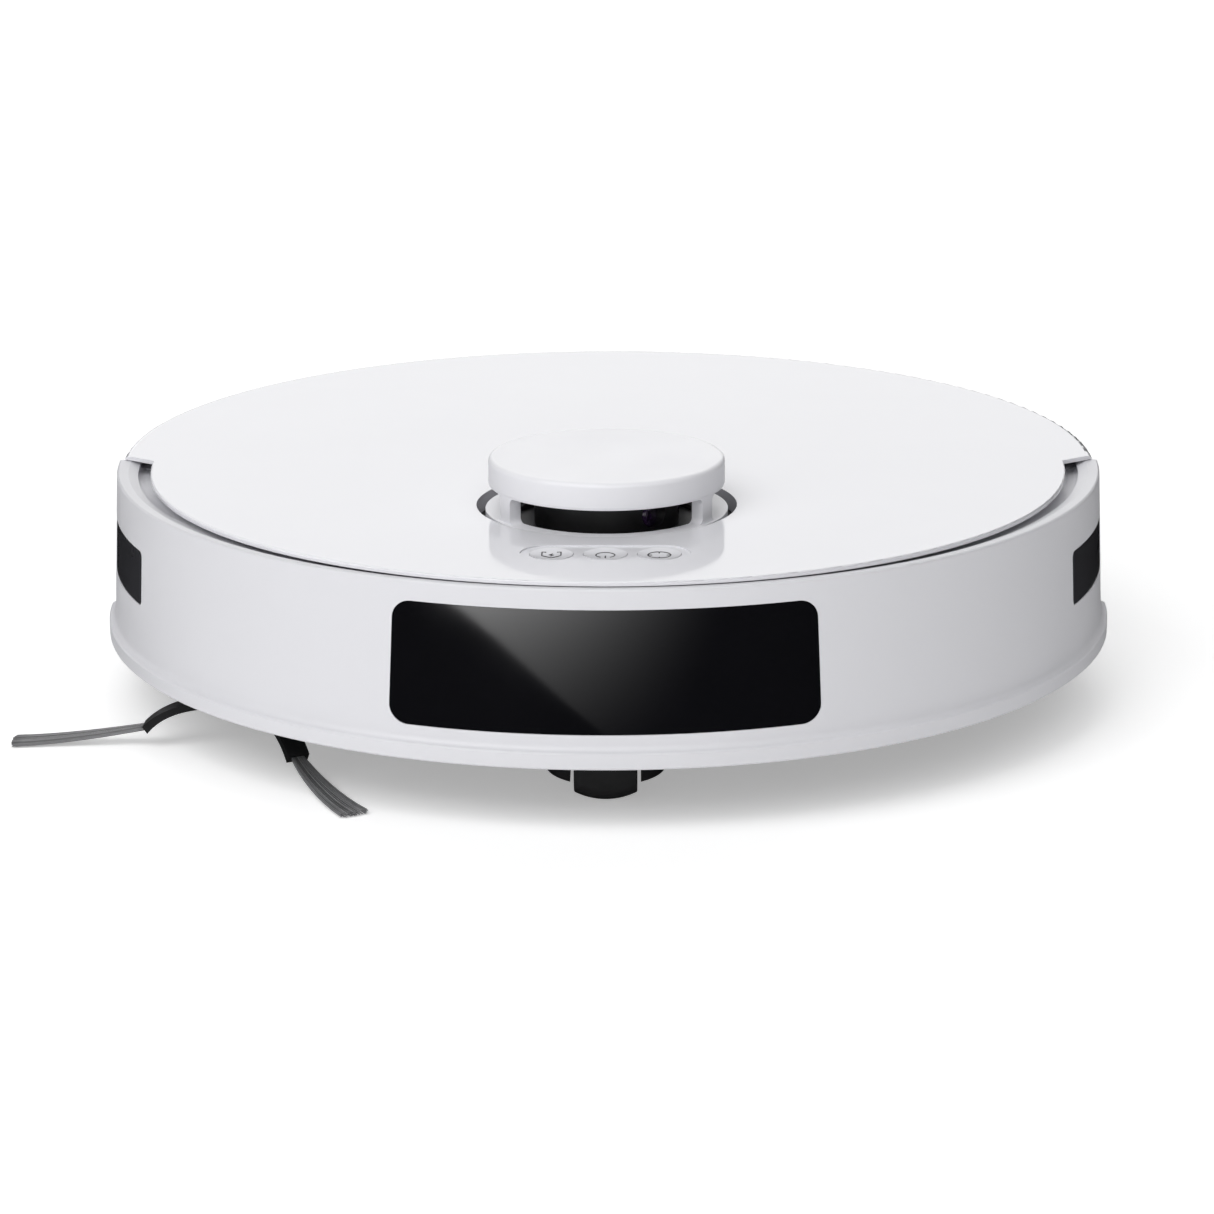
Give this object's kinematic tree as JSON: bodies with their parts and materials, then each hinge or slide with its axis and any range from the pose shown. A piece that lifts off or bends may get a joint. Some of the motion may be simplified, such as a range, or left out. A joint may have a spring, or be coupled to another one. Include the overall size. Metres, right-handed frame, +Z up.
{
  "type": "robotic floor cleaner",
  "caption": "Low round robotic floor cleaner with a sprung front bumper, laser turret, side brush, roller brush, sprung drive wheels and a lift-out dustbin under a loose cover.",
  "frame": {"origin": "centre of the flat underside of the chassis, 9.5 mm above the floor it drives on", "axes": "+Z up, the bumper faces -Y, the machine's left side is +X"},
  "size_m": [0.3743, 0.3444, 0.0965],
  "materials": {
    "white_gloss": "glossy moulded white",
    "white_satin": "satin moulded white",
    "cap_white": "fine satin white",
    "pale_grey": "satin",
    "deck_white": "satin moulded white",
    "dark_chassis": "spark-eroded texture",
    "black_satin": "satin",
    "window_black": "polished, dark to the eye and clear to infrared",
    "side_window_grey": "semi-gloss",
    "button_white": "glossy",
    "smoke_bin": "smoked",
    "filter_paper": "pleated",
    "rubber_black": "matt",
    "tyre_rubber": "matt lugged",
    "bristle_grey": "nylon fibre",
    "brush_red": "matt",
    "brush_core_grey": "satin",
    "steel": "turned",
    "spring_steel": "drawn wire",
    "contact_metal": "nickel plated",
    "motor_can": "plated can",
    "lens_glass": "coated",
    "battery_wrap": "shrink wrap",
    "circuit_green": "solder mask",
    "fan_grey": "satin"
  },
  "bodies": {
    "chassis": {"base_chassis": "dark_chassis", "upper_housing": "deck_white", "rear_shell": "white_satin", "battery_pack": "battery_wrap", "battery_cover": "dark_chassis", "main_circuit_board": "circuit_green", "fan_housing": "black_satin", "fan_motor": "motor_can", "exhaust_grille": "pale_grey", "brush_chamber": "black_satin", "brush_guard": "brush_core_grey", "brush_motor": "motor_can", "brush_belt": "rubber_black", "side_brush_motor": "black_satin", "lidar_base": "black_satin", "lidar_motor": "motor_can", "lidar_belt": "rubber_black", "caster_socket": "black_satin", "charging_contacts": "contact_metal", "cliff_sensors": "window_black", "bumper_switches": "black_satin", "button_board": "circuit_green", "chassis_screws": "steel", "wheel_brackets": "dark_chassis", "wheel_pivot_pins": "steel", "wheel_springs": "spring_steel", "front_sensor_board": "circuit_green"},
    "bumper": {"bumper_shell": "white_satin", "front_window": "window_black", "left_side_window": "side_window_grey", "right_side_window": "side_window_grey"},
    "top_cover": {"top_cover": "white_gloss"},
    "dock_button": {"dock_button": "button_white"},
    "power_button": {"power_button": "button_white"},
    "spot_button": {"spot_button": "button_white"},
    "power_switch": {"power_switch": "brush_red"},
    "turret_cap": {"turret_cap": "cap_white"},
    "lidar_rotor": {"lidar_rotor": "black_satin", "lidar_lenses": "lens_glass"},
    "lidar_motor_pulley": {"lidar_motor_pulley": "pale_grey"},
    "main_brush": {"main_brush_core": "brush_core_grey", "main_brush_bristles": "rubber_black", "main_brush_pulley": "pale_grey"},
    "brush_motor_pulley": {"brush_motor_pulley": "pale_grey"},
    "side_brush": {"side_brush_hub": "black_satin", "side_brush_bristles": "bristle_grey"},
    "left_wheel_arm": {"left_wheel_arm": "black_satin"},
    "left_wheel": {"left_wheel_hub": "pale_grey", "left_wheel_tyre": "tyre_rubber"},
    "right_wheel_arm": {"right_wheel_arm": "black_satin"},
    "right_wheel": {"right_wheel_hub": "pale_grey", "right_wheel_tyre": "tyre_rubber"},
    "caster_fork": {"caster_fork": "black_satin", "caster_axle": "steel"},
    "caster_wheel": {"caster_wheel": "rubber_black"},
    "dustbin": {"dustbin_body": "smoke_bin", "dustbin_lid": "smoke_bin", "dustbin_filter": "filter_paper"},
    "dustbin_handle": {"dustbin_handle": "pale_grey"},
    "fan_impeller": {"fan_impeller": "fan_grey"}
  },
  "joints": [
    {"name": "bumper_press", "type": "slide", "parent": "chassis", "child": "bumper", "axis": [0, 1, 0], "range_m": [0, 0.003], "stiffness_N_per_m": 700, "springref_m": -0.002},
    {"name": "top_cover_lift", "type": "slide", "parent": "chassis", "child": "top_cover", "axis": [0, 0, 1], "range_m": [0, 0.15]},
    {"name": "dock_button_press", "type": "slide", "parent": "top_cover", "child": "dock_button", "axis": [0, 0, -1], "range_m": [0, 0.0008], "stiffness_N_per_m": 900, "springref_m": -0.0006},
    {"name": "power_button_press", "type": "slide", "parent": "top_cover", "child": "power_button", "axis": [0, 0, -1], "range_m": [0, 0.0008], "stiffness_N_per_m": 900, "springref_m": -0.0006},
    {"name": "spot_button_press", "type": "slide", "parent": "top_cover", "child": "spot_button", "axis": [0, 0, -1], "range_m": [0, 0.0008], "stiffness_N_per_m": 900, "springref_m": -0.0006},
    {"name": "power_switch_slide", "type": "slide", "parent": "chassis", "child": "power_switch", "axis": [1, 0, 0], "range_m": [0, 0.0035]},
    {"name": "turret_cap_press", "type": "slide", "parent": "chassis", "child": "turret_cap", "axis": [0, 0, -1], "range_m": [0, 0.0015], "stiffness_N_per_m": 1500, "springref_m": -0.001},
    {"name": "lidar_spin", "type": "hinge", "parent": "chassis", "child": "lidar_rotor", "pos_m": [0, -0.072, 0.062], "axis": [0, 0, 1], "continuous": true},
    {"name": "lidar_motor_spin", "type": "hinge", "parent": "chassis", "child": "lidar_motor_pulley", "pos_m": [0.029, -0.072, 0.058], "axis": [0, 0, 1], "continuous": true},
    {"name": "main_brush_spin", "type": "hinge", "parent": "chassis", "child": "main_brush", "pos_m": [0, -0.028, 0.0115], "axis": [1, 0, 0], "continuous": true},
    {"name": "brush_motor_spin", "type": "hinge", "parent": "chassis", "child": "brush_motor_pulley", "pos_m": [0.084, -0.028, 0.0485], "axis": [1, 0, 0], "continuous": true},
    {"name": "side_brush_spin", "type": "hinge", "parent": "chassis", "child": "side_brush", "pos_m": [-0.1174, -0.0854, 0.005], "axis": [0, 0, 1], "continuous": true, "deforming": ["side_brush_bristles"]},
    {"name": "left_wheel_drop", "type": "hinge", "parent": "chassis", "child": "left_wheel_arm", "pos_m": [0.097, 0.044, 0.026], "axis": [1, 0, 0], "range_deg": [0, 28], "stiffness_Nm_per_rad": 0.25, "springref_deg": 40.11},
    {"name": "left_wheel_spin", "type": "hinge", "parent": "left_wheel_arm", "child": "left_wheel", "pos_m": [0.114, 0, 0.0235], "axis": [1, 0, 0], "continuous": true},
    {"name": "right_wheel_drop", "type": "hinge", "parent": "chassis", "child": "right_wheel_arm", "pos_m": [-0.097, 0.044, 0.026], "axis": [1, 0, 0], "range_deg": [0, 28], "stiffness_Nm_per_rad": 0.25, "springref_deg": 40.11},
    {"name": "right_wheel_spin", "type": "hinge", "parent": "right_wheel_arm", "child": "right_wheel", "pos_m": [-0.114, 0, 0.0235], "axis": [1, 0, 0], "continuous": true},
    {"name": "caster_swivel", "type": "hinge", "parent": "chassis", "child": "caster_fork", "pos_m": [0, -0.133, 0.02], "axis": [0, 0, 1], "continuous": true},
    {"name": "caster_roll", "type": "hinge", "parent": "caster_fork", "child": "caster_wheel", "pos_m": [0, -0.137, 0.005], "axis": [1, 0, 0], "continuous": true},
    {"name": "dustbin_lift", "type": "slide", "parent": "chassis", "child": "dustbin", "axis": [0, 0, 1], "range_m": [0, 0.068]},
    {"name": "dustbin_handle_fold", "type": "hinge", "parent": "dustbin", "child": "dustbin_handle", "pos_m": [0, 0.074, 0.0655], "axis": [-1, 0, 0], "range_deg": [0, 80]},
    {"name": "fan_spin", "type": "hinge", "parent": "chassis", "child": "fan_impeller", "pos_m": [0.097, 0.088, 0.03], "axis": [0, 0, 1], "continuous": true}
  ],
  "couplings": [
    {"joint": "lidar_motor_spin", "follows": "lidar_spin", "ratio": 3.5},
    {"joint": "brush_motor_spin", "follows": "main_brush_spin", "ratio": 1.5556},
    {"joint": "dustbin_lift", "follows": "top_cover_lift", "ratio": 0.45},
    {"joint": "dustbin_handle_fold", "follows": "top_cover_lift", "rad_per_m": 9.3}
  ]
}
